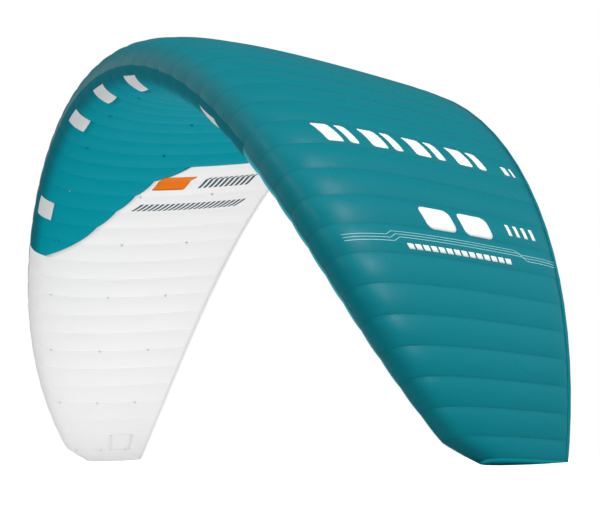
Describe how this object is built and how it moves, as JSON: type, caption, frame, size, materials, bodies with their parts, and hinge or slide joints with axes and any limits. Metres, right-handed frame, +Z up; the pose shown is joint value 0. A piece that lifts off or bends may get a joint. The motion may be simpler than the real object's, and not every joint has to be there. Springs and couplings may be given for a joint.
{
  "type": "ram-air kitesurf kite",
  "caption": "Arched ram-air foil kite canopy with closed cells, mesh inlets with one-way flaps, internal ribs and straps, bridle tabs, deflate zip and tip sand outlets.",
  "frame": {"origin": "bottom centre of the bounding box, midway between the two wing tips at the height of their lowest point", "axes": "+X along the span; +Y from the leading edge to the trailing edge; +Z up, with the wing tips down"},
  "size_m": [5.4648, 1.5396, 2.1465],
  "materials": {
    "ripstop_teal": "coated ripstop nylon, satin",
    "ripstop_light_teal": "coated ripstop nylon, satin",
    "ripstop_white": "coated ripstop nylon, satin",
    "rib_cloth": "hard-finished ripstop polyester",
    "inlet_net": "open polyester mesh",
    "flap_cloth": "light coated nylon",
    "zip_tape": "woven polyester tape with moulded coil",
    "zip_plastic": "moulded acetal, semi-gloss"
  },
  "bodies": {
    "canopy": {"top_skin": "ripstop_teal", "bottom_skin_centre": "ripstop_light_teal", "bottom_skin_left": "ripstop_white", "bottom_skin_right": "ripstop_white", "tip_rib_left": "ripstop_teal", "tip_rib_right": "ripstop_teal", "loaded_rib_01": "rib_cloth", "loaded_rib_04": "rib_cloth", "loaded_rib_07": "rib_cloth", "loaded_rib_10": "rib_cloth", "loaded_rib_13": "rib_cloth", "loaded_rib_16": "rib_cloth", "loaded_rib_19": "rib_cloth", "loaded_rib_22": "rib_cloth", "loaded_rib_25": "rib_cloth", "loaded_rib_28": "rib_cloth", "loaded_rib_31": "rib_cloth", "loaded_rib_34": "rib_cloth", "loaded_rib_37": "rib_cloth", "loaded_rib_40": "rib_cloth", "loaded_rib_43": "rib_cloth", "loaded_rib_46": "rib_cloth", "rib_pair_02": "rib_cloth", "rib_pair_05": "rib_cloth", "rib_pair_08": "rib_cloth", "rib_pair_11": "rib_cloth", "rib_pair_14": "rib_cloth", "rib_pair_17": "rib_cloth", "rib_pair_20": "rib_cloth", "rib_pair_23": "rib_cloth", "rib_pair_26": "rib_cloth", "rib_pair_29": "rib_cloth", "rib_pair_32": "rib_cloth", "rib_pair_35": "rib_cloth", "rib_pair_38": "rib_cloth", "rib_pair_41": "rib_cloth", "rib_pair_44": "rib_cloth", "inlet_screen_14": "inlet_net", "inlet_screen_20": "inlet_net", "inlet_screen_23": "inlet_net", "inlet_screen_26": "inlet_net", "inlet_screen_32": "inlet_net", "zip_tape": "zip_tape"},
    "valve_14": {"valve_flap_14": "flap_cloth"},
    "valve_20": {"valve_flap_20": "flap_cloth"},
    "valve_23": {"valve_flap_23": "flap_cloth"},
    "valve_26": {"valve_flap_26": "flap_cloth"},
    "valve_32": {"valve_flap_32": "flap_cloth"},
    "dump_left": {"dump_flap_left": "flap_cloth"},
    "dump_right": {"dump_flap_right": "flap_cloth"},
    "slider": {"zip_slider": "zip_plastic"}
  },
  "joints": [
    {"name": "valve_14_open", "type": "hinge", "parent": "canopy", "child": "valve_14", "pos_m": [-1.47633, -0.68914, 1.55576], "axis": [0.8497, -0.0966, 0.5184], "range_deg": [0, 55]},
    {"name": "valve_20_open", "type": "hinge", "parent": "canopy", "child": "valve_20", "pos_m": [-0.5214, -0.75448, 1.91842], "axis": [0.9831, -0.0323, 0.1803], "range_deg": [0, 55]},
    {"name": "valve_23_open", "type": "hinge", "parent": "canopy", "child": "valve_23", "pos_m": [0, -0.76299, 1.96576], "axis": [1, 0, 0], "range_deg": [0, 55]},
    {"name": "valve_26_open", "type": "hinge", "parent": "canopy", "child": "valve_26", "pos_m": [0.5214, -0.75448, 1.91842], "axis": [0.9831, 0.0323, -0.1803], "range_deg": [0, 55]},
    {"name": "valve_32_open", "type": "hinge", "parent": "canopy", "child": "valve_32", "pos_m": [1.47633, -0.68914, 1.55576], "axis": [0.8497, 0.0966, -0.5184], "range_deg": [0, 55]},
    {"name": "dump_left_open", "type": "hinge", "parent": "canopy", "child": "dump_left", "pos_m": [-2.6029, 0.11723, 0.12642], "axis": [-0.4164, 0.1327, -0.8995], "range_deg": [0, 95]},
    {"name": "dump_right_open", "type": "hinge", "parent": "canopy", "child": "dump_right", "pos_m": [2.6029, 0.11723, 0.12642], "axis": [-0.4164, -0.1327, 0.8995], "range_deg": [0, 95]},
    {"name": "zip_slide", "type": "slide", "parent": "canopy", "child": "slider", "axis": [1, 0, 0], "range_m": [0, 0.13]}
  ]
}
